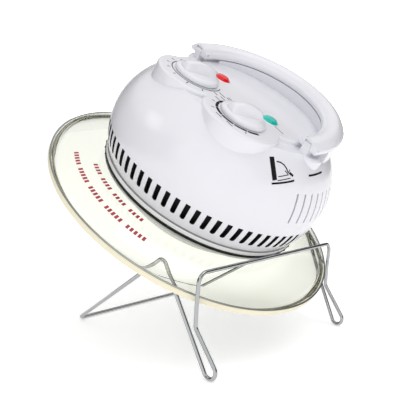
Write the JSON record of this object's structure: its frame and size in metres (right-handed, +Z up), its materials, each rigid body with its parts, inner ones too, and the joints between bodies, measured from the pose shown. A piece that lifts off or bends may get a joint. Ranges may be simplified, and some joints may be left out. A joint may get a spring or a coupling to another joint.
{
  "type": "halogen oven head on lid stand",
  "caption": "Domed halogen oven head with a glass lid, vented white cover, two knobs, folding bow handle, fan and ring lamp, resting tilted on a bent-wire lid stand.",
  "frame": {"origin": "centre of the bounding box at floor level", "axes": "+Z up; the head slopes down towards +X; the control knobs are on the -Y side; the carrying handle's bow and the power inlet are on the +Y side"},
  "size_m": [0.2948, 0.3292, 0.3041],
  "materials": {
    "glass": "clear, faintly cream",
    "rim_steel": "satin",
    "cream_silicone": "matt",
    "black_rubber": "matt",
    "white_gloss": "glossy",
    "grey_plastic": "satin",
    "sheet_steel": "zinc plated",
    "screw_steel": "bright",
    "red_lens": "glossy",
    "green_lens": "glossy",
    "lamp_glass": "clear",
    "white_nylon": "matt",
    "aluminium": "satin",
    "polished_steel": "polished",
    "chrome_wire": "bright",
    "dark_steel": "varnished",
    "copper_winding": "varnished",
    "brass": "satin"
  },
  "bodies": {
    "stand": {"side_wire_front": "chrome_wire", "side_wire_back": "chrome_wire", "rear_bar": "chrome_wire", "crossbar": "chrome_wire"},
    "head": {"glass_lid": "glass", "rim_band": "rim_steel", "rim_seal": "cream_silicone", "collar_gasket": "black_rubber", "collar_ring": "white_gloss", "base_ring": "grey_plastic", "clamp_ring": "sheet_steel", "lower_gasket": "black_rubber", "clamp_spacers": "sheet_steel", "clamp_screws": "screw_steel", "top_cover": "white_gloss", "slot_screen": "grey_plastic", "red_lens": "red_lens", "green_lens": "green_lens", "neon_lamps": "lamp_glass", "timer_body": "white_nylon", "thermostat_body": "white_nylon", "chassis_plate": "sheet_steel", "heat_shield": "aluminium", "reflector": "polished_steel", "shield_posts": "sheet_steel", "heater_guard": "chrome_wire", "halogen_lamp": "lamp_glass", "lamp_end_caps": "white_nylon", "lamp_clips": "screw_steel", "motor_stator": "dark_steel", "motor_coil": "copper_winding", "motor_brackets": "sheet_steel", "motor_bearings": "brass", "motor_pillars": "sheet_steel", "terminal_block": "white_nylon", "thermal_fuse": "white_nylon", "handle_switch": "grey_plastic", "power_inlet": "black_rubber", "inlet_nut": "grey_plastic"},
    "handle": {"handle_bow": "white_gloss", "handle_underside": "white_nylon", "handle_screws": "screw_steel", "hinge_pins": "screw_steel"},
    "timer_dial": {"timer_knob": "white_gloss", "timer_shaft": "screw_steel"},
    "thermostat_dial": {"thermostat_knob": "white_gloss", "thermostat_shaft": "screw_steel"},
    "rotor": {"motor_shaft": "screw_steel", "motor_rotor": "dark_steel", "convection_fan": "aluminium", "cooling_fan": "white_nylon"}
  },
  "joints": [
    {"name": "head_tip", "type": "hinge", "parent": "stand", "child": "head", "pos_m": [0.10192, 0, 0.0912], "axis": [0, 1, 0], "range_deg": [0, 55]},
    {"name": "handle_fold", "type": "hinge", "parent": "head", "child": "handle", "pos_m": [0.0662, -0.005, 0.24827], "axis": [0.8396, 0, -0.5432], "range_deg": [0, 82]},
    {"name": "timer_turn", "type": "hinge", "parent": "head", "child": "timer_dial", "pos_m": [0.0341, -0.052, 0.26308], "axis": [0.5432, 0, 0.8396], "range_deg": [-300, 0]},
    {"name": "thermostat_turn", "type": "hinge", "parent": "head", "child": "thermostat_dial", "pos_m": [0.09287, -0.052, 0.22506], "axis": [0.5432, 0, 0.8396], "range_deg": [-270, 0]},
    {"name": "fan_spin", "type": "hinge", "parent": "head", "child": "rotor", "pos_m": [0.01569, 0, 0.17019], "axis": [0.5432, 0, 0.8396], "continuous": true}
  ]
}
